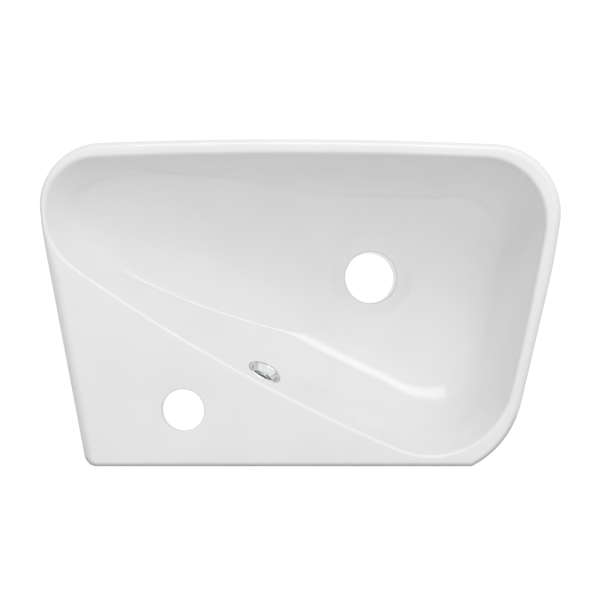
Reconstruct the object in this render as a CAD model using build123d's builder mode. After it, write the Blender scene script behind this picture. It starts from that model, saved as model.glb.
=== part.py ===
from build123d import *
import os
from math import cos, radians, sin, tan

# A wall-mounted sink of glazed china, a lopsided trapezium seen from above. A
# ridge runs diagonally across it, with a flat tap deck behind and a deep bowl in
# front. Millimetres. Z is up, the wall is the plane Y = 0 and the room is on the
# -Y side. The origin is on the wall face, midway between the two wall fixings.
# +X is the tap side and -X is the bowl side.

# Plan of the rim
depth = 270.6
tap_side_x = 148.8
bowl_side_x = -200.8
tap_side_lean = 10.7
tap_front_lean = 6.0
tap_bend_set = 99.6
bowl_side_lean = 13.2
bowl_front_lean = 9.0
bowl_bend_set = 105.6
bend_radius = 600.0
front_bow_x = -12.6
front_bow_angle = 2.1
front_bow_radius = 3840.0
front_tap_radius = 51.6
front_bowl_radius = 57.4
rear_tap_radius = 12.0
rear_corner_x = -172.0
rear_corner_angle = 30.0
rear_corner_radius = 80.0
rear_kink_radius = 8.0

# Heights, from the wall fixings
rim_height = 60.0
foot_drop = 70.0
rim_rounding = 6.0
foot_rounding = 4.0
wall_grind = 0.3

# How far the outside has drawn in at the waist and at the foot
waist_share = 0.45
waist_draw = 7.0
foot_draw = 24.0

# Thicknesses of the casting
deck_thickness = 12.0
skirt_thickness = 10.0
back_thickness = 12.0
bowl_thickness = 9.0
hollow_rear_radius = 55.0

# Bowl
ridge_tap_x = 135.5
ridge_tap_y = -149.4
ridge_rear_x = -71.1
ridge_rear_y = -32.2
ridge_radius = 1450.0
front_rim_width = 13.8
bowl_rim_width = 12.4
side_edge_radius = 2000.0
tap_rim_width = 12.6
tip_edge_radius = 900.0
tip_rear_radius = 40.0
tip_front_radius = 39.0
bowl_rear_radius = 68.0
bowl_front_radius = 52.0
bowl_depth = 84.0
bowl_edge_rounding = 3.0
corner_room = 0.62

# Drain
drain_x = -92.8
drain_y = -157.3
drain_bore = 46.0
drain_throat = 52.0
drain_seat = 70.0
drain_seat_depth = 3.5
drain_land = 2.5
seat_corner_share = 0.86
drain_boss = 72.0
drain_boss_drop = 64.0

# Tap hole
tap_x = 67.1
tap_y = -46.3
tap_bore = 35.0
tap_edge = 0.8

# Overflow
overflow_x = 1.7
overflow_drop = 25.0
overflow_bore = 23.0
overflow_duct = 17.0
duct_thickness = 7.0
overflow_duct_drop = 103.0
overflow_shaft_set = 18.0
overflow_bend = 17.0
ring_diameter = 28.0
ring_inside = 20.0
ring_thickness = 2.2
ring_rounding = 1.2
ring_clearance = 0.2
ring_sink = 1.0
ring_seat = 29.0
ring_sleeve_length = 13.0
ring_slot = 3.0
ring_slots = 4

# Wall fixings
fixing_spacing = 200.0
fixing_bore = 18.0
bush_bore = 11.0
bush_clearance = 0.2
bush_flange = 28.0
bush_flange_thickness = 3.0
bush_rounding = 1.0

# Bends of the sides, set back from the front
tap_bend_y = tap_bend_set - depth
bowl_bend_y = bowl_bend_set - depth

# Sides of the rim, counter-clockwise from above: a point on the side and its
# heading. The inside of the sink is on the left.
wall_side = (0, 0, 180)
rear_side = (rear_corner_x, 0, 180 + rear_corner_angle)
bowl_side = (bowl_side_x, 0, 270 - bowl_side_lean)
bowl_bend_x = bowl_side_x + bowl_bend_y * tan(radians(bowl_side_lean))
bowl_front_side = (bowl_bend_x, bowl_bend_y, 270 - bowl_front_lean)
bow_rise = front_bow_radius * (1 / cos(radians(front_bow_angle)) - 1)
front_bowl_side = (front_bow_x, -depth - bow_rise, -front_bow_angle)
front_tap_side = (front_bow_x, -depth - bow_rise, front_bow_angle)
tap_bend_x = tap_side_x - tap_bend_y * tan(radians(tap_side_lean))
tap_front_side = (tap_bend_x, tap_bend_y, 90 + tap_front_lean)
tap_side = (tap_side_x, 0, 90 + tap_side_lean)
rim_sides = [
    wall_side,
    rear_side,
    bowl_side,
    bowl_front_side,
    front_bowl_side,
    front_tap_side,
    tap_front_side,
    tap_side,
]


def moved(side, inset):
    """The side moved to its left, into the sink, by the inset."""
    x, y, heading = side
    turn = radians(heading)
    return (x - inset * sin(turn), y + inset * cos(turn), heading)


def crossing(first, second):
    """The point where two sides cross."""
    x, y, heading = first
    other_x, other_y, other_heading = second
    turn = radians(heading)
    other_turn = radians(other_heading)
    run = (other_x - x) * sin(other_turn) - (other_y - y) * cos(other_turn)
    run /= sin(other_turn - turn)
    return (x + run * cos(turn), y + run * sin(turn))


def corners(sides, insets):
    """The corners of a ring of sides, each moved inwards by its own inset."""
    inner = [moved(side, inset) for side, inset in zip(sides, insets)]
    return [crossing(inner[i - 1], inner[i]) for i in range(len(inner))]


def bowed(first, second, radius):
    """Centre and radius of an arc from one point to the next, counter-clockwise."""
    chord = Vector(*second) - Vector(*first)
    reach = (radius**2 - (chord.length / 2) ** 2) ** 0.5
    centre = Vector(*first) + chord / 2 + chord.normalized().rotate(Axis.Z, 90) * reach
    return centre, radius


def meeting(first, second):
    """The corner where one bowed side of a ring meets the next."""
    centre, radius = first
    other_centre, other_radius = second
    apart = other_centre - centre
    along = (radius**2 - other_radius**2 + apart.length**2) / (2 * apart.length)
    across = (radius**2 - along**2) ** 0.5
    way = apart.normalized()
    point = centre + way * along + way.rotate(Axis.Z, 90) * across
    return (point.X, point.Y)


# The four bowed sides of the bowl's edge: front, tip, ridge and bowl side
rim_widths = [
    back_thickness,
    bowl_rim_width,
    bowl_rim_width,
    bowl_rim_width,
    front_rim_width,
    front_rim_width,
    tap_rim_width,
    tap_rim_width,
]
_, _, rear_end, _, front_bowl_end, _, front_tap_end, tip_end = corners(rim_sides, rim_widths)
ridge_ends = ((ridge_tap_x, ridge_tap_y), (ridge_rear_x, ridge_rear_y))
bowl_edges = [
    bowed(front_bowl_end, front_tap_end, front_bow_radius),
    bowed(front_tap_end, tip_end, tip_edge_radius),
    bowed(*ridge_ends, ridge_radius),
    bowed(rear_end, front_bowl_end, side_edge_radius),
]
edge_rounding = [bowl_front_radius, tip_front_radius, tip_rear_radius, bowl_rear_radius]

# How far each side of the bowl's edge lies from the drain's seat
seat_radius = drain_seat / 2
drain = Vector(drain_x, drain_y)
seat_reaches = [radius - (drain - centre).length - seat_radius for centre, radius in bowl_edges]

# Level lines of the bowl: the share of its depth, and how far each side has moved
# from the rim towards the drain's seat by then: front, tip, ridge and bowl side
bowl_levels = [
    (0.00, (0.000, 0.000, 0.000, 0.000)),
    (0.24, (0.054, 0.055, 0.068, 0.037)),
    (0.48, (0.130, 0.170, 0.180, 0.090)),
    (0.66, (0.215, 0.430, 0.318, 0.150)),
    (0.79, (0.315, 0.640, 0.455, 0.220)),
    (0.88, (0.415, 0.790, 0.580, 0.310)),
    (0.94, (0.550, 0.880, 0.710, 0.460)),
    (0.98, (0.770, 0.950, 0.850, 0.720)),
    (1.00, (1.000, 1.000, 1.000, 1.000)),
]


def level_line(moves, skin):
    """Sides, corners and corner radii of one level line, a skin outside the bowl.

    A corner's radius takes no more than corner_room of its shorter side.
    """
    sides = []
    for (centre, radius), move, reach in zip(bowl_edges, moves, seat_reaches):
        sides.append((centre, radius - move * reach + skin))
    points = [meeting(sides[i - 1], sides[i]) for i in range(len(sides))]
    ends = points[1:] + points[:1]
    lengths = [(Vector(*end) - Vector(*point)).length for point, end in zip(points, ends)]
    _, tip, _, side = moves
    rounding = []
    for i, (move, radius) in enumerate(zip((side, tip, tip, side), edge_rounding)):
        blend = move * seat_corner_share * seat_radius + (1 - move) * radius
        grown = blend + skin * (1 - move * (1 - seat_corner_share))
        rounding.append(min(grown, corner_room * min(lengths[i - 1], lengths[i])))
    return sides, points, rounding


def bowl_body(skin):
    """The hollow of the bowl, grown outwards by the thickness of a skin."""
    with BuildPart() as body:
        for share, moves in bowl_levels:
            height = rim_height - share * (bowl_depth + skin)
            sides, points, rounding = level_line(moves, skin)
            with BuildSketch(Plane.XY.offset(height)) as outline:
                with BuildLine():
                    for i, (_, radius) in enumerate(sides):
                        RadiusArc(points[i], points[(i + 1) % len(points)], -radius)
                make_face()
                for point, radius in zip(points, rounding):
                    fillet(outline.vertices().sort_by_distance(point)[0], radius=radius)
        loft()
    return body.part


def outline_body(levels, rear_radius):
    """A body through outlines of the rim, each a height and its insets from the sides."""
    corner_radii = [
        rear_tap_radius,
        rear_kink_radius,
        rear_radius,
        bend_radius,
        front_bowl_radius,
        front_bow_radius,
        front_tap_radius,
        bend_radius,
    ]
    with BuildPart() as body:
        for height, back, draw in levels:
            insets = [back] + [draw] * (len(rim_sides) - 1)
            rounding = [max(radius - draw, rear_kink_radius) for radius in corner_radii]
            with BuildSketch(Plane.XY.offset(height)):
                with BuildLine():
                    FilletPolyline(*corners(rim_sides, insets), radius=rounding, close=True)
                make_face()
        loft()
    return body.part


# The outside draws in towards the foot on every side but the wall. The inside of
# the skirt follows it, one wall thickness further in.
waist_height = rim_height - waist_share * (rim_height + foot_drop)
draws = ((rim_height, 0), (waist_height, waist_draw), (-foot_drop, foot_draw))
outside = outline_body(
    [(height, -wall_grind, draw) for height, draw in draws],
    rear_corner_radius,
)
inside = outline_body(
    [(height, back_thickness, draw + skirt_thickness) for height, draw in draws],
    hollow_rear_radius,
)
bowl_space = bowl_body(0)
bowl_shell = bowl_body(bowl_thickness)

# The overflow stands square on the bowl's wall, under the ridge. A duct drops
# from it behind the wall and runs under the bowl into the drain's bore.
overflow_line = Axis((overflow_x, drain_y, rim_height - overflow_drop), (0, 1, 0))
overflow_hits = bowl_space.find_intersection_points(overflow_line)
overflow_point, overflow_outward = max(overflow_hits, key=lambda hit: hit[0].Y)
overflow_axis = -overflow_outward.normalized()
overflow_seat = Plane(overflow_point - overflow_axis * ring_sink, z_dir=overflow_axis)
shaft_top = overflow_point - overflow_axis * overflow_shaft_set
shaft_foot = Vector(shaft_top.X, shaft_top.Y, rim_height - overflow_duct_drop)
duct_end = Vector(drain_x, drain_y, shaft_foot.Z)


def duct_body(radius):
    """A round bar along the duct, from the overflow to the drain's axis."""
    with BuildPart() as body:
        with BuildLine() as path:
            FilletPolyline(
                overflow_point, shaft_top, shaft_foot, duct_end, radius=overflow_bend
            )
        with BuildSketch(path.line ^ 0):
            Circle(radius)
        sweep()
    return body.part


# Hollow under the deck, less the bowl, the drain boss and the duct that stand in it
top_down = (Align.CENTER, Align.CENTER, Align.MAX)
boss_height = rim_height - bowl_depth + drain_boss_drop
with BuildPart() as hollow:
    add(inside)
    split(bisect_by=Plane.XY.offset(rim_height - deck_thickness), keep=Keep.BOTTOM)
    add(bowl_shell, mode=Mode.SUBTRACT)
    with Locations((drain_x, drain_y, rim_height - bowl_depth)):
        Cylinder(drain_boss / 2, boss_height, align=top_down, mode=Mode.SUBTRACT)
    add(duct_body(overflow_duct / 2 + duct_thickness), mode=Mode.SUBTRACT)

# Basin, with its back ground flat for the wall
with BuildPart() as basin:
    add(outside)
    fillet(basin.faces().sort_by(Axis.Z)[-1].edges(), radius=rim_rounding)
    fillet(basin.faces().sort_by(Axis.Z)[0].edges(), radius=foot_rounding)
    split(bisect_by=Plane.XZ, keep=Keep.TOP)
    add(hollow.part, mode=Mode.SUBTRACT)

    # Drain seat and bore
    with Locations((drain_x, drain_y, rim_height - bowl_depth)):
        Cone(
            drain_throat / 2,
            seat_radius - drain_land,
            drain_seat_depth,
            align=top_down,
            mode=Mode.SUBTRACT,
        )
        Cylinder(drain_bore / 2, boss_height + drain_seat_depth, align=top_down, mode=Mode.SUBTRACT)

    # Bowl, with its edge rounded
    add(bowl_space, mode=Mode.SUBTRACT)
    deck = basin.faces().sort_by(Axis.Z)[-1]
    fillet(deck.inner_wires()[0].edges(), radius=bowl_edge_rounding)

    # Tap hole, with its glazed edge broken
    with Locations((tap_x, tap_y, rim_height)):
        Hole(tap_bore / 2, depth=2 * deck_thickness)
    tap_top = basin.edges().filter_by(GeomType.CIRCLE).group_by(Axis.Z)[-1]
    chamfer(tap_top.sort_by_distance((tap_x, tap_y, rim_height))[0], length=tap_edge)

    # Overflow seat, bore and duct
    with BuildSketch(overflow_seat):
        Circle(ring_seat / 2)
    extrude(amount=bowl_thickness, mode=Mode.SUBTRACT)
    with BuildSketch(overflow_seat):
        Circle(overflow_bore / 2)
    extrude(amount=-overflow_shaft_set, mode=Mode.SUBTRACT)
    add(duct_body(overflow_duct / 2), mode=Mode.SUBTRACT)

    # Wall fixings
    with Locations(Plane.XZ):
        with GridLocations(fixing_spacing, 0, 2, 1):
            Hole(fixing_bore / 2, depth=2 * back_thickness)

# Overflow ring, drawn flat: a rounded flange and a slotted sleeve behind it
sleeve_radius = overflow_bore / 2 - ring_clearance
with BuildPart() as ring:
    with BuildSketch(Plane.XZ):
        with BuildLine():
            Polyline(
                (ring_inside / 2, ring_thickness),
                (ring_diameter / 2, ring_thickness),
                (ring_diameter / 2, 0),
                (sleeve_radius, 0),
                (sleeve_radius, -ring_sleeve_length),
                (ring_inside / 2, -ring_sleeve_length),
                close=True,
            )
        make_face()
    revolve(axis=Axis.Z)
    face_edges = ring.edges().group_by(Axis.Z)[-1].sort_by(SortBy.RADIUS)
    fillet(face_edges[-1], radius=ring_rounding)
    fillet(face_edges[0], radius=ring_rounding / 2)
    with PolarLocations(sleeve_radius, ring_slots):
        with Locations((0, 0, -ring_thickness)):
            Box(ring_diameter / 2, ring_slot, ring_sleeve_length, align=top_down, mode=Mode.SUBTRACT)
overflow_ring = overflow_seat.location * ring.part

# Files
os.makedirs("parts", exist_ok=True)
basin.part.label = "basin"
export_step(basin.part, "parts/basin.step")
overflow_ring.label = "overflow_ring"
export_step(overflow_ring, "parts/overflow_ring.step")

# Fixing bushes: a flange on the room side of the back wall and a sleeve in its hole
for name, x in (("left", -fixing_spacing / 2), ("right", fixing_spacing / 2)):
    back_face = Plane((x, -back_thickness, 0), z_dir=(0, -1, 0))
    with BuildPart() as bush:
        with BuildSketch(back_face):
            Circle(bush_flange / 2)
        extrude(amount=bush_flange_thickness)
        rim_edge = bush.edges().filter_by(GeomType.CIRCLE).sort_by(Axis.Y)[0]
        fillet(rim_edge, radius=bush_rounding)
        with BuildSketch(back_face):
            Circle(fixing_bore / 2 - bush_clearance)
        extrude(amount=-back_thickness)
        with BuildSketch(back_face.offset(bush_flange_thickness)):
            Circle(bush_bore / 2)
        extrude(amount=-bush_flange_thickness - back_thickness, mode=Mode.SUBTRACT)
    bush.part.label = f"fixing_bush_{name}"
    export_step(bush.part, f"parts/{bush.part.label}.step")
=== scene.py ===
"""Dresses a wall-mounted sink: a glazed china basin, its chrome overflow ring and its nylon fixing bushes."""

import logging
import math
from dataclasses import dataclass, field
from enum import Enum
from typing import Any, Sequence

import bmesh
import bpy
import numpy as np
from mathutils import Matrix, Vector


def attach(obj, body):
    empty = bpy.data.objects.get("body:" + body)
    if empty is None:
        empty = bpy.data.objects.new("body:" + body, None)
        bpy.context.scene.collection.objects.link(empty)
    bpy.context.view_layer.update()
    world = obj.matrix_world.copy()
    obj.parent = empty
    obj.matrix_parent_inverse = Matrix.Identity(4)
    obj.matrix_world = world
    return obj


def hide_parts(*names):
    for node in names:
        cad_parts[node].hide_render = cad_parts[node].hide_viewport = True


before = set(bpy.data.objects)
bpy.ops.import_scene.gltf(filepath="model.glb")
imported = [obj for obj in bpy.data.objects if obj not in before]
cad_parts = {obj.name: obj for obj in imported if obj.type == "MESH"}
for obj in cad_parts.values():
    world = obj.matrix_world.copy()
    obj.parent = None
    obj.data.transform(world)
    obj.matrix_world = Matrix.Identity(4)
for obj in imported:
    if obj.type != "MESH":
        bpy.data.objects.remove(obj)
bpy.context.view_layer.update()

log = logging.getLogger("sink")

MM = 0.001
RIM_HEIGHT = 60.0
FOOT_HEIGHT = -70.0
DECK_UNDERSIDE = 48.0
RIDGE_COLUMNS = slice(253, 348)


# Curves worked out as arrays


def cross(a: np.ndarray, b: np.ndarray) -> np.ndarray:
    """The plane cross product a_x b_y - a_y b_x, over the last axis."""
    return a[..., 0] * b[..., 1] - a[..., 1] * b[..., 0]


def turned(a: np.ndarray) -> np.ndarray:
    """Plane vectors turned a quarter turn counter-clockwise: (x, y) becomes (-y, x)."""
    return np.stack([-a[..., 1], a[..., 0]], axis=-1)


def polar(angle: np.ndarray) -> np.ndarray:
    """Unit plane vectors at an angle: (cos a, sin a)."""
    return np.stack([np.cos(angle), np.sin(angle)], axis=-1)


def spline(knots: np.ndarray, values: np.ndarray, at: np.ndarray) -> np.ndarray:
    """A natural cubic spline through a table.

    The second derivatives m solve h_i m_i + 2 (h_i + h_i+1) m_i+1 + h_i+1 m_i+2 = 6 (s_i+1 - s_i),
    where h are the steps between knots and s the slopes of the chords.

    Args:
        knots: The K places of the table.
        values: The values there, K rows.
        at: Places to read it at.

    Returns:
        One row for each place.
    """
    step = np.diff(knots)
    slope = np.diff(values, axis=0) / step[:, None]
    size = len(knots)
    matrix = np.eye(size)
    inner = np.arange(1, size - 1)
    matrix[inner, inner - 1] = step[:-1]
    matrix[inner, inner] = 2 * (step[:-1] + step[1:])
    matrix[inner, inner + 1] = step[1:]
    right = np.zeros_like(values)
    right[1:-1] = 6 * np.diff(slope, axis=0)
    bend = np.linalg.solve(matrix, right)
    span = np.clip(np.searchsorted(knots, at) - 1, 0, size - 2)
    h = step[span][:, None]
    a = (knots[span + 1] - at)[:, None]
    b = (at - knots[span])[:, None]
    low, high = bend[span], bend[span + 1]
    cubic = (low * a**3 + high * b**3) / (6 * h)
    return cubic + (values[span] / h - low * h / 6) * a + (values[span + 1] / h - high * h / 6) * b


def conic(start: np.ndarray, corner: np.ndarray, end: np.ndarray, steps: int, weight: float = 0.707) -> np.ndarray:
    """A rounded corner: the rational curve ((1-t)^2 A + 2 w t (1-t) C + t^2 B) / ((1-t)^2 + 2 w t (1-t) + t^2).

    Args:
        start: The point A where it leaves the first side, any shape.
        corner: The sharp corner C.
        end: The point B where it joins the second side.
        steps: Rows made, both ends in.
        weight: w, the cosine of half the turn for a round corner.

    Returns:
        An array with the rows first.
    """
    t = np.linspace(0, 1, steps).reshape((steps,) + (1,) * start.ndim)
    whole = (1 - t) ** 2 + 2 * weight * t * (1 - t) + t**2
    return ((1 - t) ** 2 * start + 2 * weight * t * (1 - t) * corner + t**2 * end) / whole


def spread(values: Sequence[float], arc_steps: Sequence[int], side_steps: Sequence[int]) -> np.ndarray:
    """A value for each point of a ring from one for each side, eased as 3 t^2 - 2 t^3 along the corners.

    Args:
        values: One for each side.
        arc_steps: How many steps each corner is drawn in.
        side_steps: How many steps each side is drawn in.

    Returns:
        One for each point.
    """
    runs = []
    for i, (arc, side) in enumerate(zip(arc_steps, side_steps)):
        t = np.linspace(0, 1, arc + 1)
        ease = t * t * (3 - 2 * t)
        runs.append(values[i - 1] * (1 - ease) + values[i] * ease)
        runs.append(np.full(side - 1, values[i]))
    return np.concatenate(runs)


@dataclass(frozen=True)
class StraightSides:
    """A ring of straight sides with rounded corners, counter-clockwise from above.

    Attributes:
        points: A point on each side, in millimetres.
        headings: The heading of each side, in degrees.
        radii: The radius of the corner before each side.
        arc_steps: How many steps each corner is drawn in.
        side_steps: How many steps each side is drawn in.
    """

    points: tuple[tuple[float, float], ...]
    headings: tuple[float, ...]
    radii: tuple[float, ...]
    arc_steps: tuple[int, ...]
    side_steps: tuple[int, ...]

    def corners(self, insets: np.ndarray) -> np.ndarray:
        """Where the sides cross, each moved inwards by its inset.

        Args:
            insets: Levels by sides.

        Returns:
            Levels by sides by two. The first corner lies before the first side.
        """
        heading = np.radians(self.headings)
        way = polar(heading)
        place = np.array(self.points)[None] + insets[..., None] * turned(way)[None]
        before = np.roll(place, 1, axis=1)
        way_before = np.roll(way, 1, axis=0)[None]
        run = cross(place - before, way[None]) / cross(way_before, way[None])
        return before + way_before * run[..., None]

    def ring(self, insets: np.ndarray, least_radius: float = 8.0, shrink: np.ndarray | None = None) -> np.ndarray:
        """The rounded outline at each level.

        Corner i starts r tan(turn / 2) before the crossing, and runs as centre + r (sin a, -cos a)
        for headings a from one side's to the next's.

        Args:
            insets: How far each side has moved inwards, levels by sides.
            least_radius: The smallest corner radius.
            shrink: How much each level's corner radii have shrunk.

        Returns:
            Levels by points by two.
        """
        crossings = self.corners(insets)
        heading = np.radians(self.headings)
        before = np.roll(heading, 1)
        before[0] -= 2 * math.pi
        turn = heading - before
        drop = insets.max(axis=1) if shrink is None else shrink
        radius = np.maximum(np.array(self.radii)[None] - drop[:, None], least_radius)
        reach = radius * np.tan(turn / 2)
        starts = crossings - polar(before)[None] * reach[..., None]
        ends = crossings + polar(heading)[None] * reach[..., None]
        centres = starts + turned(polar(before))[None] * radius[..., None]
        runs = []
        for i, (arc, side) in enumerate(zip(self.arc_steps, self.side_steps)):
            angle = before[i] + turn[i] * np.linspace(0, 1, arc + 1)
            runs.append(centres[:, i, None] - radius[:, i, None, None] * turned(polar(angle))[None])
            share = np.linspace(0, 1, side + 1)[1:-1][None, :, None]
            following = starts[:, (i + 1) % len(self.radii)]
            runs.append(ends[:, i, None] * (1 - share) + following[:, None] * share)
        return np.concatenate(runs, axis=1)

    def spread(self, values: Sequence[float]) -> np.ndarray:
        """A value for each point of the ring from one for each side, as spread() gives them."""
        return spread(values, self.arc_steps, self.side_steps)

    def inward(self) -> np.ndarray:
        """The unit normal at each point of the ring, towards the inside.

        Returns:
            Points by two: a quarter turn to the left of the heading, which turns evenly along the corners.
        """
        heading = np.radians(self.headings)
        before = np.roll(heading, 1)
        before[0] -= 2 * math.pi
        runs = []
        for i, (arc, side) in enumerate(zip(self.arc_steps, self.side_steps)):
            runs.append(before[i] + (heading[i] - before[i]) * np.linspace(0, 1, arc + 1))
            runs.append(np.full(side - 1, heading[i]))
        return turned(polar(np.concatenate(runs)))


@dataclass(frozen=True)
class BowedSides:
    """A ring of four bowed sides with rounded corners, counter-clockwise from above.

    Attributes:
        centres: The centre of each side's arc.
        radii: The radius of each side's arc.
        rounding: The radius of the corner before each side.
        arc_steps: How many steps each corner is drawn in.
        side_steps: How many steps each side is drawn in.
    """

    centres: np.ndarray
    radii: np.ndarray
    rounding: np.ndarray
    arc_steps: tuple[int, ...] = (44, 44, 40, 44)
    side_steps: tuple[int, ...] = (96, 28, 96, 48)

    def ring(self, radii: np.ndarray, rounding: np.ndarray) -> np.ndarray:
        """The rounded outline at each level.

        A corner's centre lies R - r from the centres of both its sides, and its arc runs
        between the lines from those centres through it.

        Args:
            radii: The radius of each side, levels by sides.
            rounding: The radius of each corner, levels by sides.

        Returns:
            Levels by points by two.
        """
        centre = self.centres[None]
        before = np.roll(self.centres, 1, axis=0)[None]
        near = np.roll(radii, 1, axis=1) - rounding
        far = radii - rounding
        apart = centre - before
        gap = np.linalg.norm(apart, axis=-1)
        along = (near**2 - far**2 + gap**2) / (2 * gap)
        across = np.sqrt(near**2 - along**2)
        way = apart / gap[..., None]
        corner = before + way * along[..., None] + turned(way) * across[..., None]
        first = np.arctan2(*(corner - before)[..., ::-1].transpose(2, 0, 1))
        last = np.arctan2(*(corner - centre)[..., ::-1].transpose(2, 0, 1))
        turn = (last - first) % (2 * math.pi)
        following = np.roll(corner, -1, axis=1)
        stop = np.arctan2(*(following - centre)[..., ::-1].transpose(2, 0, 1))
        sweep = (stop - last) % (2 * math.pi)
        runs = []
        for i, (arc, side) in enumerate(zip(self.arc_steps, self.side_steps)):
            share = np.linspace(0, 1, arc + 1)[None]
            angle = first[:, i, None] + turn[:, i, None] * share
            runs.append(corner[:, i, None] + rounding[:, i, None, None] * polar(angle))
            share = np.linspace(0, 1, side + 1)[None, 1:-1]
            angle = last[:, i, None] + sweep[:, i, None] * share
            runs.append(self.centres[None, i, None] + radii[:, i, None, None] * polar(angle))
        return np.concatenate(runs, axis=1)


def levelled(rings: np.ndarray, heights: np.ndarray) -> np.ndarray:
    """Gives rings of plane points their heights.

    Args:
        rings: Levels by points by two.
        heights: One for each level, or levels by points.

    Returns:
        Levels by points by three.
    """
    tall = heights if heights.ndim == 2 else np.repeat(heights[:, None], rings.shape[1], axis=1)
    return np.concatenate([rings, tall[..., None]], axis=-1)


# Meshes


class Shell:
    """A mesh gathered from closed grids, whose open rims are filled with flat faces."""

    def __init__(self) -> None:
        """Starts with nothing in it."""
        self.points: list[np.ndarray] = []
        self.faces: list[np.ndarray] = []
        self.count = 0

    def grid(self, rows: np.ndarray) -> None:
        """Adds a tube: rows of points, each row a closed ring, joined to the next by quads.

        Args:
            rows: Rows by points by three, in millimetres.
        """
        levels, around, _ = rows.shape
        low = self.count + np.arange(levels - 1)[:, None] * around + np.arange(around)[None]
        side = self.count + np.arange(levels - 1)[:, None] * around + (np.arange(around)[None] + 1) % around
        self.faces.append(np.stack([low, side, side + around, low + around], axis=-1).reshape(-1, 4))
        self.points.append(rows.reshape(-1, 3) * MM)
        self.count += levels * around

    def mesh(self, name: str, flats: Sequence[float] = ()) -> bpy.types.Mesh:
        """Makes the mesh, with seams merged, rims filled and faces turned outwards.

        Args:
            name: The mesh's name.
            flats: Heights of the level rims that are filled, in millimetres.

        Returns:
            A closed mesh.
        """
        mesh = bpy.data.meshes.new(name)
        mesh.from_pydata(np.concatenate(self.points), [], np.concatenate(self.faces))
        work = bmesh.new()
        work.from_mesh(mesh)
        bmesh.ops.remove_doubles(work, verts=work.verts, dist=1e-7)
        for height in flats:
            rim = [e for e in work.edges if e.is_boundary and all(abs(v.co.z - height * MM) < 1e-7 for v in e.verts)]
            bmesh.ops.triangle_fill(work, use_beauty=True, use_dissolve=False, edges=rim, normal=(0, 0, 1))
        loops = [e for e in work.edges if e.is_boundary]
        if loops:
            bmesh.ops.holes_fill(work, edges=loops, sides=0)
        bmesh.ops.recalc_face_normals(work, faces=work.faces)
        work.to_mesh(mesh)
        work.free()
        return mesh


def add_object(name: str, mesh: bpy.types.Mesh) -> bpy.types.Object:
    """Puts a mesh into the scene at the origin.

    Args:
        name: The object's name.
        mesh: Its mesh.

    Returns:
        The new object.
    """
    made = bpy.data.objects.new(name, mesh)
    bpy.context.scene.collection.objects.link(made)
    return made


def carved(
    body: bpy.types.Object, tools: Sequence[bpy.types.Object], take: bool = True, solver: str = "MANIFOLD"
) -> bpy.types.Object:
    """Cuts tools out of a body one after another, or joins them to it, and removes the tools.

    Args:
        body: The object to change.
        tools: Closed objects.
        take: Cut them out, or else join them.
        solver: The kind of Boolean.

    Returns:
        The same body, with its new mesh.
    """
    for tool in tools:
        cut = body.modifiers.new(tool.name, "BOOLEAN")
        cut.operation = "DIFFERENCE" if take else "UNION"
        cut.solver = solver
        cut.material_mode = "TRANSFER"
        cut.object = tool
    graph = bpy.context.evaluated_depsgraph_get()
    mesh = bpy.data.meshes.new_from_object(body.evaluated_get(graph), depsgraph=graph)
    body.modifiers.clear()
    body.data = mesh
    for tool in tools:
        bpy.data.objects.remove(tool)
    return body


def smooth(body: bpy.types.Object, angle: float) -> None:
    """Shades a piece smooth, but sharp at edges that turn by more than an angle.

    Args:
        body: The piece.
        angle: In degrees.
    """
    body.data.shade_smooth()
    body.data.set_sharp_from_angle(angle=math.radians(angle))


def lathe(profile: np.ndarray, place: np.ndarray, axis: np.ndarray, around: int) -> np.ndarray:
    """A profile carried round an axis: place + r (cos a u + sin a v) + h axis.

    Args:
        profile: Rows of radius and height.
        place: The origin of the profile.
        axis: Unit axis.
        around: Points round the axis.

    Returns:
        Rows by points by three.
    """
    across = np.cross(axis, (0.0, 0.0, 1.0) if abs(axis[2]) < 0.9 else (1.0, 0.0, 0.0))
    across /= np.linalg.norm(across)
    up = np.cross(axis, across)
    angle = np.linspace(0, 2 * math.pi, around, endpoint=False)
    ring = np.cos(angle)[:, None] * across + np.sin(angle)[:, None] * up
    return place + profile[:, 0, None, None] * ring[None] + profile[:, 1, None, None] * axis


# Shaders


class Wire:
    """A socket of a shader, with the sums of Python on it."""

    def __init__(self, tree: bpy.types.NodeTree, socket: bpy.types.NodeSocket) -> None:
        """Wraps a socket.

        Args:
            tree: The node tree that it is in.
            socket: The socket.
        """
        self.tree = tree
        self.socket = socket

    def _maths(self, operation: str, first: Any, second: Any) -> "Wire":
        """Adds a Math node.

        Args:
            operation: What it works out.
            first: A wire or a number.
            second: A wire or a number.

        Returns:
            Its value.
        """
        node = self.tree.nodes.new("ShaderNodeMath")
        node.operation = operation
        for slot, value in zip(node.inputs, (first, second)):
            if isinstance(value, Wire):
                self.tree.links.new(value.socket, slot)
            else:
                slot.default_value = value
        return Wire(self.tree, node.outputs[0])

    def __add__(self, other: Any) -> "Wire":
        """self + other."""
        return self._maths("ADD", self, other)

    __radd__ = __add__

    def __sub__(self, other: Any) -> "Wire":
        """self - other."""
        return self._maths("SUBTRACT", self, other)

    def __rsub__(self, other: Any) -> "Wire":
        """other - self."""
        return self._maths("SUBTRACT", other, self)

    def __mul__(self, other: Any) -> "Wire":
        """self * other."""
        return self._maths("MULTIPLY", self, other)

    __rmul__ = __mul__

    def __truediv__(self, other: Any) -> "Wire":
        """self / other."""
        return self._maths("DIVIDE", self, other)

    def above(self, other: float) -> "Wire":
        """1 where self is greater than other, or else 0."""
        return self._maths("GREATER_THAN", self, other)

    def least(self, other: Any) -> "Wire":
        """The smaller of self and other."""
        return self._maths("MINIMUM", self, other)

    def most(self, other: Any) -> "Wire":
        """The larger of self and other."""
        return self._maths("MAXIMUM", self, other)


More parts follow.
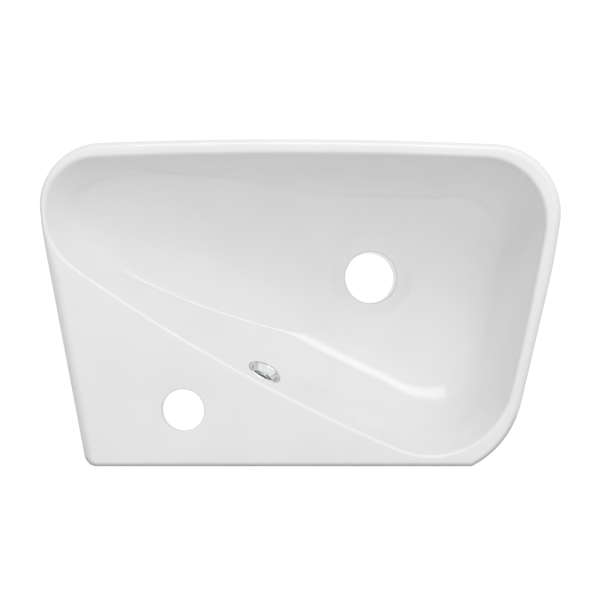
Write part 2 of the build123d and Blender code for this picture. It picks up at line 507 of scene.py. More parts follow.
class Recipe:
    """A material that is being written, node by node."""

    def __init__(self, name: str) -> None:
        """Starts an empty material.

        Args:
            name: The material's name.
        """
        self.material = bpy.data.materials.new(name)
        self.material.use_nodes = True
        self.tree = self.material.node_tree
        self.tree.nodes.clear()

    def node(self, kind: str, output: int | str = 0, settings: dict[str, Any] | None = None, **sockets: Any) -> Wire:
        """Adds a node.

        Args:
            kind: Its type, without the prefix ShaderNode.
            output: The output that is read.
            settings: Its settings. A list under "ramp" gives a colour ramp's stops.
            sockets: Its sockets by name, with spaces as underscores, or by number as _0, _1.

        Returns:
            The output.
        """
        made = self.tree.nodes.new("ShaderNode" + kind)
        for key, value in (settings or {}).items():
            if key == "ramp":
                stops = made.color_ramp.elements
                while len(stops) < len(value):
                    stops.new(1.0)
                for stop, (place, shade) in zip(stops, value):
                    stop.position = place
                    stop.color = (shade, shade, shade, 1.0)
            else:
                setattr(made, key, value)
        for key, value in sockets.items():
            slot = made.inputs[int(key[1:])] if key[1:].isdigit() else made.inputs[key.replace("_", " ")]
            if isinstance(value, Wire):
                self.tree.links.new(value.socket, slot)
            else:
                slot.default_value = value
        return Wire(self.tree, made.outputs[output])

    def places(self) -> Wire:
        """The Object coordinates of the surface, in metres."""
        return self.node("TexCoord", "Object")

    def noise(self, places: Wire, scale: float, detail: float = 3.0, roughness: float = 0.5) -> Wire:
        """A noise from 0 to 1.

        Args:
            places: Where it is read.
            scale: Waves in a metre.
            detail: Octaves.
            roughness: How strong the finer octaves are.

        Returns:
            Its value.
        """
        return self.node("TexNoise", "Fac", None, Vector=places, Scale=scale, Detail=detail, Roughness=roughness)

    def blend(self, share: Any, first: Any, second: Any) -> Wire:
        """Mixes two colours.

        Args:
            share: How much of the second.
            first: A colour or wire.
            second: A colour or wire.

        Returns:
            The colour.
        """
        return self.node("Mix", 2, {"data_type": "RGBA"}, _0=share, _6=first, _7=second)

    def ramp(self, value: Wire, stops: Sequence[tuple[float, float]]) -> Wire:
        """A number read off a ramp of places and values."""
        return self.node("ValToRGB", 0, {"ramp": list(stops)}, Fac=value)

    def bump(self, height: Wire, depth: float, strength: float = 1.0, over: Wire | None = None) -> Wire:
        """The normal of a relief.

        Args:
            height: From 0 to 1.
            depth: In metres, how high 1 stands.
            strength: From 0 to 1.
            over: The normal of a relief beneath it.

        Returns:
            The normal.
        """
        sockets = {"Height": height, "Distance": depth, "Strength": strength}
        if over is not None:
            sockets["Normal"] = over
        return self.node("Bump", 0, None, **sockets)

    def surface(self, **sockets: Any) -> bpy.types.Material:
        """Ends the material in one Principled shader.

        Args:
            sockets: The shader's sockets by name, with spaces as underscores.

        Returns:
            The material.
        """
        shader = self.node("BsdfPrincipled", 0, None, **sockets)
        self.close(shader)
        return self.material

    def close(self, shader: Wire) -> None:
        """Leads a shader to the material's output."""
        end = self.tree.nodes.new("ShaderNodeOutputMaterial")
        self.tree.links.new(shader.socket, end.inputs["Surface"])


@dataclass(frozen=True)
class Glaze:
    """White sanitary glaze: bright, very smooth, and a little uneven where it pooled and flowed.

    Attributes:
        colour: Its colour.
        pooled: Its colour where it is thickest.
        roughness: How rough it is.
        flow_scale: Waves in a metre of the flow.
        flow_depth: How high the flow stands, in metres.
    """

    colour: tuple[float, float, float, float] = (0.80, 0.80, 0.80, 1.0)
    pooled: tuple[float, float, float, float] = (0.775, 0.778, 0.78, 1.0)
    roughness: float = 0.09
    flow_scale: float = 14.0
    flow_depth: float = 0.0004

    def material(self) -> bpy.types.Material:
        """Builds the shader: slow flow and fine skin in the relief, slight tone and gloss changes."""
        recipe = Recipe("china_glaze")
        places = recipe.places()
        flow = recipe.noise(places, self.flow_scale, 2.0)
        skin = recipe.noise(places, 380.0, 2.0)
        tone = recipe.noise(places, 22.0, 4.0)
        colour = recipe.blend(recipe.ramp(tone, [(0.35, 0.0), (0.75, 1.0)]), self.colour, self.pooled)
        speck = recipe.noise(places, 900.0, 1.0).above(0.79) * 0.5
        colour = recipe.blend(speck, colour, (0.66, 0.64, 0.60, 1.0))
        relief = recipe.bump(skin, 0.00001, 0.5, recipe.bump(flow, self.flow_depth, 0.35))
        return recipe.surface(
            Base_Color=colour,
            Roughness=self.roughness + tone * 0.05,
            Normal=relief,
            IOR=1.5,
        )


@dataclass(frozen=True)
class Biscuit:
    """Bare fired china, as on the underside and the wall face: matt, warm white, fine-grained.

    Attributes:
        colour: Its colour.
        dust: Its colour in the grain.
    """

    colour: tuple[float, float, float, float] = (0.70, 0.68, 0.64, 1.0)
    dust: tuple[float, float, float, float] = (0.60, 0.57, 0.52, 1.0)

    def material(self) -> bpy.types.Material:
        """Builds the shader: grain in the relief, a cloudy tone, and thin patches of sprayed glaze."""
        recipe = Recipe("china_biscuit")
        places = recipe.places()
        grain = recipe.noise(places, 1400.0, 4.0, 0.6)
        cloud = recipe.noise(places, 18.0, 5.0, 0.6)
        spray = recipe.ramp(recipe.noise(places, 60.0, 5.0, 0.65), [(0.45, 0.0), (0.62, 1.0)])
        colour = recipe.blend(recipe.ramp(cloud, [(0.3, 0.0), (0.7, 1.0)]), self.colour, self.dust)
        colour = recipe.blend(spray * 0.5, colour, (0.76, 0.76, 0.75, 1.0))
        relief = recipe.bump(grain, 0.00012, 0.6, recipe.bump(cloud, 0.001, 0.3))
        return recipe.surface(Base_Color=colour, Roughness=0.72 - spray * 0.28, Normal=relief, IOR=1.5)


@dataclass(frozen=True)
class Chrome:
    """Polished chrome plate with hair-fine wiping marks and a little water haze.

    Attributes:
        colour: Its colour.
        roughness: How rough it is.
    """

    colour: tuple[float, float, float, float] = (0.80, 0.805, 0.81, 1.0)
    roughness: float = 0.07

    def material(self) -> bpy.types.Material:
        """Builds the shader: haze changes its tone and gloss, and wiping marks its relief."""
        recipe = Recipe("overflow_chrome")
        places = recipe.places()
        haze = recipe.noise(places, 260.0, 5.0, 0.6)
        marks = recipe.noise(places, 3000.0, 2.0)
        colour = recipe.blend(recipe.ramp(haze, [(0.4, 0.0), (0.8, 1.0)]), self.colour, (0.70, 0.71, 0.72, 1.0))
        return recipe.surface(
            Base_Color=colour,
            Metallic=1.0,
            Roughness=self.roughness + haze * 0.10,
            Normal=recipe.bump(marks, 0.000004, 0.5),
        )


@dataclass(frozen=True)
class Nylon:
    """Moulded natural nylon: milky, satin, with a faint flow pattern.

    Attributes:
        colour: Its colour.
        roughness: How rough it is.
    """

    colour: tuple[float, float, float, float] = (0.74, 0.72, 0.66, 1.0)
    roughness: float = 0.42

    def material(self) -> bpy.types.Material:
        """Builds the shader: swirls change its tone, and a fine grain its relief and gloss."""
        recipe = Recipe("bush_nylon")
        places = recipe.places()
        swirl = recipe.noise(places, 120.0, 4.0, 0.6)
        grain = recipe.noise(places, 2600.0, 3.0)
        colour = recipe.blend(recipe.ramp(swirl, [(0.3, 0.0), (0.7, 1.0)]), self.colour, (0.66, 0.64, 0.58, 1.0))
        return recipe.surface(
            Base_Color=colour,
            Roughness=self.roughness + grain * 0.12,
            Normal=recipe.bump(grain, 0.00003, 0.5),
            IOR=1.53,
        )


# The sink


@dataclass
class Basin:
    """The china basin: its rim, deck, bowl, skirt and hollow underside. Sizes are in millimetres.

    Attributes:
        sides: The plan of the rim.
        edge_radii: The rounding of the rim's outer edge at each side.
        widest: The height above which the skirt grows no wider.
        draws: The outside's draw at the rim, waist and foot, as height and distance.
        bowl_levels: The share of the bowl's depth, and how far each side has moved by then.
        drain: The drain's place in plan.
        tap: The tap hole's place in plan.
    """

    sides: StraightSides = field(default_factory=lambda: Basin.rim_sides())
    edge_radii: tuple[float, ...] = (4.5, 5.0, 9.0, 9.0, 8.0, 8.0, 2.8, 11.0)
    widest: float = 54.0
    waist: tuple[float, float] = (1.5, 7.0)
    foot_draw: float = 24.0
    foot_rounding: float = 4.0
    back: float = 12.0
    skirt: float = 10.0
    bowl_depth: float = 84.0
    bowl_skin: float = 9.0
    lip_sets: tuple[float, ...] = (2.8, 1.6, 2.6, 2.8)
    seat_share: float = 0.86
    drain: tuple[float, float] = (-92.8, -157.3)
    drain_bore: float = 23.0
    drain_throat: float = 26.0
    seat_radius: float = 37.5
    seat_depth: float = 3.5
    boss_radius: float = 36.0
    boss_foot: float = -64.0
    tap: tuple[float, float] = (67.1, -46.3)
    tap_bore: float = 17.5
    tap_lip: float = 0.8
    overflow_x: float = 1.7
    overflow_height: float = 35.0
    fixings: tuple[float, ...] = (-100.0, 100.0)
    fixing_bore: float = 9.0
    bowl_levels: tuple[tuple[float, tuple[float, float, float, float]], ...] = (
        (0.00, (0.000, 0.000, 0.000, 0.000)),
        (0.24, (0.054, 0.055, 0.068, 0.037)),
        (0.48, (0.130, 0.170, 0.180, 0.090)),
        (0.66, (0.200, 0.430, 0.318, 0.150)),
        (0.79, (0.285, 0.640, 0.455, 0.220)),
        (0.88, (0.375, 0.790, 0.580, 0.310)),
        (0.94, (0.480, 0.880, 0.710, 0.460)),
        (0.98, (0.680, 0.950, 0.850, 0.720)),
        (1.00, (1.000, 1.000, 1.000, 1.000)),
    )

    @staticmethod
    def rim_sides() -> StraightSides:
        """The eight sides of the rim, from the wall counter-clockwise seen from above."""
        depth, bow_radius, bow_angle, bow_x = 270.6, 3840.0, 2.1, -12.6
        front = -depth - bow_radius * (1 / math.cos(math.radians(bow_angle)) - 1)
        tap_bend = 148.8 + 171.0 * math.tan(math.radians(10.7))
        bowl_bend = -200.8 - 165.0 * math.tan(math.radians(13.2))
        return StraightSides(
            points=(
                (0.0, 0.0),
                (-172.0, 0.0),
                (-200.8, 0.0),
                (bowl_bend, -165.0),
                (bow_x, front),
                (bow_x, front),
                (tap_bend, -171.0),
                (148.8, 0.0),
            ),
            headings=(180.0, 210.0, 256.8, 261.0, 360 - bow_angle, 360 + bow_angle, 456.0, 460.7),
            radii=(12.0, 8.0, 80.0, 600.0, 57.4, bow_radius, 51.6, 600.0),
            arc_steps=(20, 12, 32, 8, 44, 56, 44, 8),
            side_steps=(72, 4, 20, 8, 6, 6, 10, 34),
        )

    def draw(self, height: np.ndarray) -> np.ndarray:
        """The outside's draw at a height: the parabola through rim, waist and foot.

        Args:
            height: In millimetres.

        Returns:
            How far the sides have moved inwards.
        """
        waist_height, waist_draw = self.waist
        first = waist_draw / (waist_height - RIM_HEIGHT)
        second = (self.foot_draw - waist_draw) / (FOOT_HEIGHT - waist_height)
        bend = (second - first) / (FOOT_HEIGHT - RIM_HEIGHT)
        return first * (height - RIM_HEIGHT) + bend * (height - RIM_HEIGHT) * (height - waist_height)

    def _insets(self, draws: np.ndarray, back: float = 0.0) -> np.ndarray:
        """Insets of all sides, levels by sides: back on the wall's, the draw on the others."""
        insets = np.repeat(draws[:, None], len(self.sides.radii), axis=1)
        insets[:, 0] = back
        return insets

    def outside(self) -> np.ndarray:
        """The rim's rounding, the skirt and the foot's rounding, as rows from the deck down.

        The rounding is a conic in inset and height from (r, rim) through the corner to the
        skirt at rim - r, set off along the outline's normal. The skirt follows the parabola of draw().

        Returns:
            Rows by points by three.
        """
        radii = np.array(self.edge_radii)
        join = self.draw(np.minimum(RIM_HEIGHT - radii, self.widest))
        slope = (self.draw(RIM_HEIGHT - radii - 0.5) - join) / 0.5
        join[0], slope[0] = 0.0, 0.0
        rim = conic(
            np.stack([radii, np.zeros(8)]),
            np.stack([join - slope * radii, np.zeros(8)]),
            np.stack([join, radii]),
            14,
        )
        foot_of_rim = np.array([[0.0, *join[1:]]])
        plan = self.sides.ring(foot_of_rim, 8.0, foot_of_rim[:, 1:].min(axis=1))
        aside = np.stack([self.sides.spread(row) for row in rim[:, 0] - join])
        fall = np.stack([self.sides.spread(row) for row in rim[:, 1]])
        rows = [levelled(plan + aside[..., None] * self.sides.inward(), RIM_HEIGHT - fall)]
        starts = self.sides.spread(list(radii))
        lowest = FOOT_HEIGHT + self.foot_rounding
        share = np.linspace(0, 1, 34)[1:]
        tall = (RIM_HEIGHT - starts)[None] * (1 - share[:, None]) + lowest * share[:, None]
        middle = RIM_HEIGHT - radii.max() + (lowest - RIM_HEIGHT + radii.max()) * share
        insets = self._insets(np.zeros(len(share)))
        level = (RIM_HEIGHT - radii[None, 1:]) * (1 - share[:, None]) + lowest * share[:, None]
        insets[:, 1:] = self.draw(np.minimum(level, self.widest))
        shrink = self.draw(middle)
        rows.append(levelled(self.sides.ring(insets, 8.0, shrink), tall))
        lower = self.draw(np.array([lowest]))[0]
        turn = conic(
            np.array([lower, lowest]),
            np.array([self.draw(np.array([FOOT_HEIGHT]))[0], FOOT_HEIGHT]),
            np.array([lower + self.foot_rounding, FOOT_HEIGHT]),
            8,
        )[1:]
        turned_in = self._insets(turn[:, 0])
        turned_in[:, 0] = turn[:, 0] - lower
        rows.append(levelled(self.sides.ring(turned_in, 8.0, np.repeat(lower, 7)), turn[:, 1]))
        return np.concatenate(rows)

    def bowl_sides(self) -> BowedSides:
        """The four bowed sides of the bowl's edge: front, tip, ridge and bowl side."""
        widths = np.array([[self.back, 12.4, 12.4, 12.4, 13.8, 13.8, 4.8, 4.8]])
        corner = self.sides.corners(widths)[0]
        rear_end, front_bowl_end, front_tap_end, tip_end = corner[2], corner[4], corner[6], corner[7]
        first = np.array([front_bowl_end, front_tap_end, (135.5, -149.4), rear_end])
        second = np.array([front_tap_end, tip_end, (-71.1, -32.2), front_bowl_end])
        radii = np.array([3840.0, 900.0, 1450.0, 2000.0])
        chord = second - first
        length = np.linalg.norm(chord, axis=1)
        reach = np.sqrt(radii**2 - length**2 / 4)
        centres = first + chord / 2 + turned(chord / length[:, None]) * reach[:, None]
        return BowedSides(centres, radii, np.array([52.0, 43.0, 58.0, 68.0]))

    def bowl(self, shares: np.ndarray, skin: float = 0.0) -> np.ndarray:
        """The bowl's surface at shares of its path, from the rim down to the drain's seat.

        The table's depth and moves are splined along their own path length. Each side's arc
        shrinks by its move times its distance from the seat, and a corner's radius goes from
        its own at the rim to the seat's with the move of its side.

        Args:
            shares: From 0 at the rim to 1 at the seat; below 0 the first level goes straight up.
            skin: How far outside the bowl, in millimetres.

        Returns:
            Rows by points by three.
        """
        sides = self.bowl_sides()
        depths = np.array([share for share, _ in self.bowl_levels])
        moves = np.array([move for _, move in self.bowl_levels])
        table = np.concatenate([depths[:, None], moves], axis=1)
        weights = np.array([self.bowl_depth, 40.0, 100.0, 60.0, 80.0])
        step = np.linalg.norm(np.diff(table * weights, axis=0) / np.array([1, 2, 2, 2, 2]), axis=1)
        path = np.concatenate([[0], np.cumsum(step)])
        levels = spline(path / path[-1], table, np.clip(shares, 0, 1))
        return self.level(sides, levels[:, 0], levels[:, 1:], np.full(len(shares), skin))

    def level(self, sides: BowedSides, depths: np.ndarray, moves: np.ndarray, skins: np.ndarray) -> np.ndarray:
        """Level lines of the bowl.

        Args:
            sides: The bowl's sides.
            depths: The share of the depth at each level.
            moves: How far each side has moved, levels by sides.
            skins: How far outside the bowl each level lies.

        Returns:
            Rows by points by three.
        """
        drain = np.array(self.drain)
        reach = sides.radii - np.linalg.norm(drain - sides.centres, axis=1) - self.seat_radius
        radii = sides.radii[None] - moves * reach[None] + skins[:, None]
        tip, side = moves[:, 1], moves[:, 3]
        corner_moves = np.stack([side, tip, tip, side], axis=1)
        blend = corner_moves * self.seat_share * self.seat_radius + (1 - corner_moves) * sides.rounding[None]
        rounding = blend + skins[:, None] * (1 - corner_moves * (1 - self.seat_share))
        heights = RIM_HEIGHT - depths * (self.bowl_depth + skins)
        return levelled(sides.ring(radii, rounding), heights)

    def inside(self) -> np.ndarray:
        """The lip, the bowl, the drain's seat and its bore, as rows from the deck down.

        Returns:
            Rows by points by three.
        """
        sides = self.bowl_sides()
        nothing = np.zeros((1, 4))
        corner = self.level(sides, np.zeros(1), nothing, np.zeros(1))[0]
        edge = self.level(sides, np.zeros(1), nothing, np.ones(1))[0]
        edge = corner + (edge - corner) * spread(self.lip_sets, sides.arc_steps, sides.side_steps)[:, None]
        shares = np.linspace(0.02, 1, 90)
        wall = self.bowl(shares)
        lip = conic(edge, corner, wall[0], 12, math.cos(math.radians(39)))
        rows = [lip, wall[1:]]
        floor = wall[-1]
        away = floor[:, :2] - np.array(self.drain)
        angle = np.arctan2(away[:, 1], away[:, 0])
        around = polar(angle)
        seat = RIM_HEIGHT - self.bowl_depth
        profile = np.array([
            (37.1, 0.0), (36.6, -0.04), (36.0, -0.16), (35.4, -0.36), (34.7, -0.62), (33.8, -0.95), (32.8, -1.35),
            (31.7, -1.8), (30.5, -2.2), (29.4, -2.55), (28.2, -2.85), (27.4, -3.1), (26.6, -3.28), (25.8, -3.4),
            (25.0, -3.48), (24.4, -3.6), (23.9, -3.8), (23.5, -4.1), (23.2, -4.6), (23.05, -5.2), (23.0, -6.0),
            (23.0, -12.0), (23.0, FOOT_HEIGHT - seat),
        ])
        rings = np.array(self.drain) + profile[:, 0, None, None] * around[None]
        rows.append(levelled(rings, seat + profile[:, 1]))
        return np.concatenate(rows)

    def tap_hole(self) -> np.ndarray:
        """The tap hole, a rounded lip and a bore, as rows from the deck down."""
        lip = conic(
            np.array([self.tap_bore + self.tap_lip, RIM_HEIGHT]),
            np.array([self.tap_bore, RIM_HEIGHT]),
            np.array([self.tap_bore, RIM_HEIGHT - self.tap_lip]),
            7,
        )
        profile = np.concatenate([lip, [(self.tap_bore, FOOT_HEIGHT)]])
        return lathe(profile, np.array([*self.tap, 0.0]), np.array([0.0, 0.0, 1.0]), 128)

    def overflow(self) -> tuple[np.ndarray, np.ndarray]:
        """Where the overflow lies on the bowl's wall, and the wall's normal there, out of the wall."""
        rows = self.bowl(np.linspace(0.05, 0.6, 200))
        ridge = rows[:, RIDGE_COLUMNS]
        miss = np.hypot(ridge[..., 0] - self.overflow_x, ridge[..., 2] - self.overflow_height)
        row, column = np.unravel_index(np.argmin(miss), miss.shape)
        row, column = int(np.clip(row, 1, 198)), int(np.clip(column, 1, 93))
        down = ridge[row + 1, column] - ridge[row - 1, column]
        along = ridge[row, column + 1] - ridge[row, column - 1]
        normal = np.cross(along, down)
        normal /= np.linalg.norm(normal)
        if normal[1] > 0:
            normal = -normal
        return ridge[row, column], normal

    def hollow(self) -> bpy.types.Object:
        """The space under the deck, less the bowl's shell, the drain's boss and the overflow duct.

        Returns:
            A closed object to cut out of the body.
        """
        heights = np.linspace(FOOT_HEIGHT - 2, DECK_UNDERSIDE, 12)
        draws = self.draw(heights) + self.skirt
        space = Shell()
        radii = list(self.sides.radii)
        radii[2] = 67.0
        inner = StraightSides(self.sides.points, self.sides.headings, tuple(radii), self.sides.arc_steps, self.sides.side_steps)
        space.grid(levelled(inner.ring(self._insets(draws, self.back), 8.0, self.draw(heights)), heights))
        body = add_object("hollow", space.mesh("hollow", (heights[0], heights[-1])))
        shell = Shell()
        rows = self.bowl(np.linspace(0, 1, 34), self.bowl_skin)
        shell.grid(rows)
        bowl = add_object("bowl_shell", shell.mesh("bowl_shell", (rows[0, 0, 2], rows[-1, 0, 2])))
        boss = Shell()
        profile = np.array([(self.boss_radius, -20.0), (self.boss_radius, self.boss_foot + 1.5), (self.boss_radius - 1.5, self.boss_foot)])
        boss.grid(lathe(profile, np.array([*self.drain, 0.0]), np.array([0.0, 0.0, 1.0]), 96))
        drain_boss = add_object("drain_boss", boss.mesh("drain_boss", (-20.0, self.boss_foot)))
        duct = add_object("duct_wall", self.duct(15.5, "duct_wall"))
        return carved(body, [bowl, drain_boss, duct])

    def duct(self, radius: float, name: str) -> bpy.types.Mesh:
        """A round bar from the overflow down behind the wall and on to the drain's axis.

        Its line is the polyline overflow, shaft top, shaft foot, drain with corners of 17 mm,
        and the bar is centre + radius (cos a u + sin a v), with v level and square to the plane
        of each run.

        Args:
            radius: In millimetres.
            name: The mesh's name.

        Returns:
            A closed mesh.
        """
        place, normal = self.overflow()
        top = place - normal * 18.0
        foot = np.array([top[0], top[1], -43.0])
        end = np.array([*self.drain, -43.0])
        stops = [place, top, foot, end]
        line = [place[None]]
        for before, corner, after in zip(stops, stops[1:], stops[2:]):
            way_in = (corner - before) / np.linalg.norm(corner - before)
            way_out = (after - corner) / np.linalg.norm(after - corner)
            half = math.acos(float(np.clip(way_in @ way_out, -1, 1))) / 2
            reach = 17.0 * math.tan(half)
            line.append(conic(corner - way_in * reach, corner, corner + way_out * reach, 14, math.cos(half)))
        line.append(end[None])
        centre = np.concatenate(line)
        tangent = np.gradient(centre, axis=0)
        tangent /= np.linalg.norm(tangent, axis=1)[:, None]
        level = np.cross(tangent, (0.0, 0.0, 1.0))
        flat = np.linalg.norm(level, axis=1)
        keep = flat > 1e-3
        order = np.arange(len(flat))
        nearest = np.array([order[keep][np.argmin(np.abs(order[keep] - i))] for i in order])
        level = level[nearest] / flat[nearest][:, None]
        level -= (level * tangent).sum(axis=1)[:, None] * tangent
        level /= np.linalg.norm(level, axis=1)[:, None]
        other = np.cross(tangent, level)
        angle = np.linspace(0, 2 * math.pi, 48, endpoint=False)
        rows = centre[:, None] + radius * (
            np.cos(angle)[None, :, None] * level[:, None] + np.sin(angle)[None, :, None] * other[:, None]
        )
        bar = Shell()
        bar.grid(rows)
        return bar.mesh(name)

    def build(self) -> bpy.types.Object:
        """Builds and dresses the basin, and puts it in place of its plain solid.

        Returns:
            The piece.
        """
        shell = Shell()
        shell.grid(self.outside())
        shell.grid(self.inside())
        shell.grid(self.tap_hole())
        body = add_object("china_basin", shell.mesh("china_basin", (RIM_HEIGHT, FOOT_HEIGHT)))
        glaze, biscuit = Glaze().material(), Biscuit().material()
        body.data.materials.append(glaze)
        hollow = self.hollow()
        hollow.data.materials.clear()
        hollow.data.materials.append(biscuit)
        tools = [hollow]
        place, normal = self.overflow()
        for name, radius, low, high in (("overflow_seat", 14.5, -1.0, 8.0), ("overflow_bore", 11.5, -16.0, 6.0)):
            tool = Shell()
            profile = np.array([(radius, low), (radius, high)])
            tool.grid(lathe(profile, place, normal, 96))
            tools.append(add_object(name, tool.mesh(name)))
        tools.append(add_object("duct_bore", self.duct(8.5, "duct_bore")))
        for x in self.fixings:
            tool = Shell()
            profile = np.array([(self.fixing_bore, -4.0), (self.fixing_bore, self.back + 4.0)])
            tool.grid(lathe(profile, np.array([x, 0.0, 0.0]), np.array([0.0, -1.0, 0.0]), 64))
            tools.append(add_object("fixing_bore", tool.mesh("fixing_bore")))
        carved(body, tools)
        smooth(body, 32)
        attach(body, "root")
        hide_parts("basin")
        return body


@dataclass
class OverflowRing:
    """The chrome ring in the overflow: a rounded flange, dished inside, and a sleeve. Millimetres.

    Attributes:
        basin: The basin that it sits in.
        outer: The flange's radius.
        dish: The radius where the dish starts on the flange's face.
        bore: The radius at the foot of the dish and through the sleeve.
        dish_depth: How deep the dish is.
        sleeve: The sleeve's outer radius.
        thickness: How far the flange stands in front of its seat.
        length: How far the sleeve reaches behind it.
    """

    basin: Basin
    outer: float = 14.0
    dish: float = 11.9
    bore: float = 8.4
    dish_depth: float = 6.0
    sleeve: float = 11.3
    thickness: float = 2.2
    length: float = 13.0

    def build(self) -> bpy.types.Object:
        """Turns the ring's profile and puts it in place of its plain solid.

        Returns:
            The piece.
        """
        place, normal = self.basin.overflow()
        face = conic(
            np.array([self.outer, 0.7]), np.array([self.outer, self.thickness]), np.array([self.outer - 1.6, self.thickness]), 8
        )
        lip = conic(
            np.array([self.dish + 0.7, self.thickness]),
            np.array([self.dish, self.thickness]),
            np.array([self.dish - 0.3, self.thickness - 0.6]),
            6,
        )
        hollow = conic(
            np.array([self.dish - 0.3, self.thickness - 0.6]),
            np.array([self.bore + 1.0, self.thickness - 0.6 * self.dish_depth]),
            np.array([self.bore, self.thickness - self.dish_depth]),
            9,
        )[1:]
        back = np.array([
            (self.bore, -self.length + 0.2), (self.bore + 0.2, -self.length), (self.sleeve - 0.2, -self.length),
            (self.sleeve, -self.length + 0.2), (self.sleeve, -0.1), (self.sleeve + 0.1, 0.0), (self.outer - 0.2, 0.0),
            (self.outer, 0.2),
        ])
        profile = np.concatenate([face, lip, hollow, back])
        closed = np.concatenate([profile, profile[:1]])
        shell = Shell()
        shell.grid(lathe(closed, place - normal, normal, 128))
        ring = add_object("chrome_overflow_ring", shell.mesh("chrome_overflow_ring"))
        ring.data.materials.append(Chrome().material())
        smooth(ring, 40)
        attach(ring, "root")
        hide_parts("overflow_ring")
        return ring


@dataclass
class FixingBushes:
    """The two nylon bushes in the wall fixings, kept from the frame and dressed."""

    nodes: tuple[str, ...] = ("fixing_bush_left", "fixing_bush_right")

    def build(self) -> list[bpy.types.Object]:
        """Gives both bushes their nylon.

        Returns:
            The pieces.
        """
        nylon = Nylon().material()
        bushes = [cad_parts[name] for name in self.nodes]
        for bush in bushes:
            bush.data.materials.clear()
            bush.data.materials.append(nylon)
        return bushes


# The studio


class Softbox(Enum):
    """The lamps: place, aim, width, height in metres, power in watts, and whether gloss shows them."""

    OVERHEAD = ((0.1, 0.7, 1.7), (-0.03, -0.14, 0.0), 2.2, 1.6, 7.0, False)
    KEY = ((-1.0, -1.5, 1.2), (-0.03, -0.14, 0.0), 1.8, 1.2, 8.5, False)
    STRIP = ((-0.3, -1.7, 0.9), (-0.03, -0.14, 0.0), 1.5, 0.45, 6.0, True)


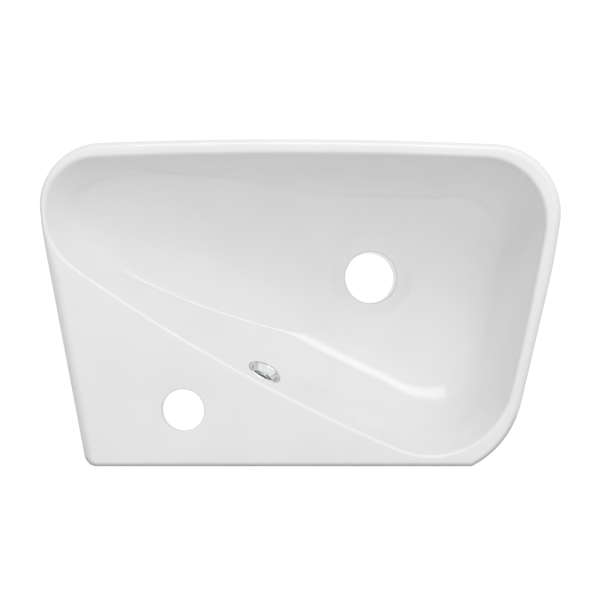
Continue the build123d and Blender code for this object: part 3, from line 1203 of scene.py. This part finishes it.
@dataclass
class Studio:
    """A pale floor, a white background, soft lamps and the camera above the sink.

    Attributes:
        eye: The camera's place in plan, in metres.
        eye_height: The camera's height.
        lens: Its focal length on a 36 mm sensor.
        floor_height: The floor's height.
        ambient: The strength of the light from all round.
        card: The dark card behind the wall face: how far off, its half width and the height of its top.
    """

    eye: tuple[float, float] = (-0.0292, -0.1371)
    eye_height: float = 1.010
    lens: float = 69.4
    floor_height: float = -0.85
    ambient: float = 0.72
    card: tuple[float, float, float] = (0.25, 0.9, 0.26)

    def camera(self) -> None:
        """Hangs the camera over the sink, looking down, with the wall's side at the foot of the view."""
        data = bpy.data.cameras.new("camera")
        data.lens = self.lens
        data.sensor_width = 36.0
        data.clip_start, data.clip_end = 0.01, 50.0
        camera = bpy.data.objects.new("camera", data)
        camera.location = (*self.eye, self.eye_height)
        camera.rotation_euler = (0.0, 0.0, math.pi)
        bpy.context.scene.collection.objects.link(camera)
        bpy.context.scene.camera = camera

    def lamps(self) -> None:
        """Hangs the softboxes."""
        for box in Softbox:
            place, aim, width, height, power, mirrored = box.value
            data = bpy.data.lights.new(box.name.lower(), "AREA")
            data.shape = "RECTANGLE"
            data.size, data.size_y = width, height
            data.energy = power
            lamp = bpy.data.objects.new(box.name.lower(), data)
            lamp.location = place
            lamp.rotation_euler = (Vector(aim) - Vector(place)).to_track_quat("-Z", "Y").to_euler()
            lamp.visible_glossy = mirrored
            bpy.context.scene.collection.objects.link(lamp)

    def world(self) -> None:
        """A soft light from all round that the camera, metal and glass see as white."""
        world = bpy.data.worlds.new("studio")
        world.use_nodes = True
        tree = world.node_tree
        tree.nodes.clear()
        rays = tree.nodes.new("ShaderNodeLightPath")
        seen = Wire(tree, rays.outputs["Is Camera Ray"]).most(Wire(tree, rays.outputs["Is Glossy Ray"]))
        seen = seen.most(Wire(tree, rays.outputs["Is Transmission Ray"]))
        strength = seen * (1 - self.ambient) + self.ambient
        glow = tree.nodes.new("ShaderNodeBackground")
        end = tree.nodes.new("ShaderNodeOutputWorld")
        tree.links.new(strength.socket, glow.inputs["Strength"])
        tree.links.new(glow.outputs[0], end.inputs["Surface"])
        glow.inputs["Color"].default_value = (1.0, 1.0, 1.0, 1.0)
        bpy.context.scene.world = world

    def floor(self) -> None:
        """A pale floor well under the sink, which shows white and keeps the sink's soft shadow."""
        mesh = bpy.data.meshes.new("floor")
        side = 6.0
        mesh.from_pydata(
            [(-side, -side, self.floor_height), (side, -side, self.floor_height), (side, side, self.floor_height), (-side, side, self.floor_height)],
            [],
            [(0, 1, 2, 3)],
        )
        floor = add_object("floor", mesh)
        recipe = Recipe("floor")
        rays = recipe.tree.nodes.new("ShaderNodeLightPath")
        seen = Wire(recipe.tree, rays.outputs["Is Camera Ray"]).most(Wire(recipe.tree, rays.outputs["Is Glossy Ray"]))
        seen = seen.most(Wire(recipe.tree, rays.outputs["Is Transmission Ray"]))
        matt = recipe.node("BsdfDiffuse", 0, None, Color=(0.35, 0.35, 0.35, 1.0))
        glow = recipe.node("Emission", 0, None, Color=(1.0, 1.0, 1.0, 1.0), Strength=1.17)
        recipe.close(recipe.node("MixShader", 0, None, _0=seen * 0.85, _1=matt, _2=glow))
        mesh.materials.append(recipe.material)

    def dark_card(self) -> None:
        """A dark card behind the wall face, out of the camera's sight, that draws the sink's rear edge."""
        behind, half_width, top = self.card
        mesh = bpy.data.meshes.new("dark_card")
        mesh.from_pydata(
            [(-half_width, behind, self.floor_height), (half_width, behind, self.floor_height), (half_width, behind, top), (-half_width, behind, top)],
            [],
            [(0, 1, 2, 3)],
        )
        card = add_object("dark_card", mesh)
        card.visible_camera = False
        mesh.materials.append(Recipe("dark_card").surface(Base_Color=(0.02, 0.02, 0.02, 1.0), Roughness=0.9))

    def build(self) -> None:
        """Sets the whole studio up."""
        self.camera()
        self.lamps()
        self.world()
        self.floor()
        self.dark_card()
        bpy.context.scene.view_settings.view_transform = "Standard"


def main() -> None:
    """Builds the sink's pieces and the studio, and reports each piece."""
    logging.basicConfig(level=logging.INFO, format="%(name)s: %(message)s")
    Studio().build()
    basin = Basin()
    pieces = [basin.build(), OverflowRing(basin).build(), *FixingBushes().build()]
    for piece in pieces:
        log.info("%s: %d faces", piece.name, len(piece.data.polygons))


if __name__ == "__main__":
    main()
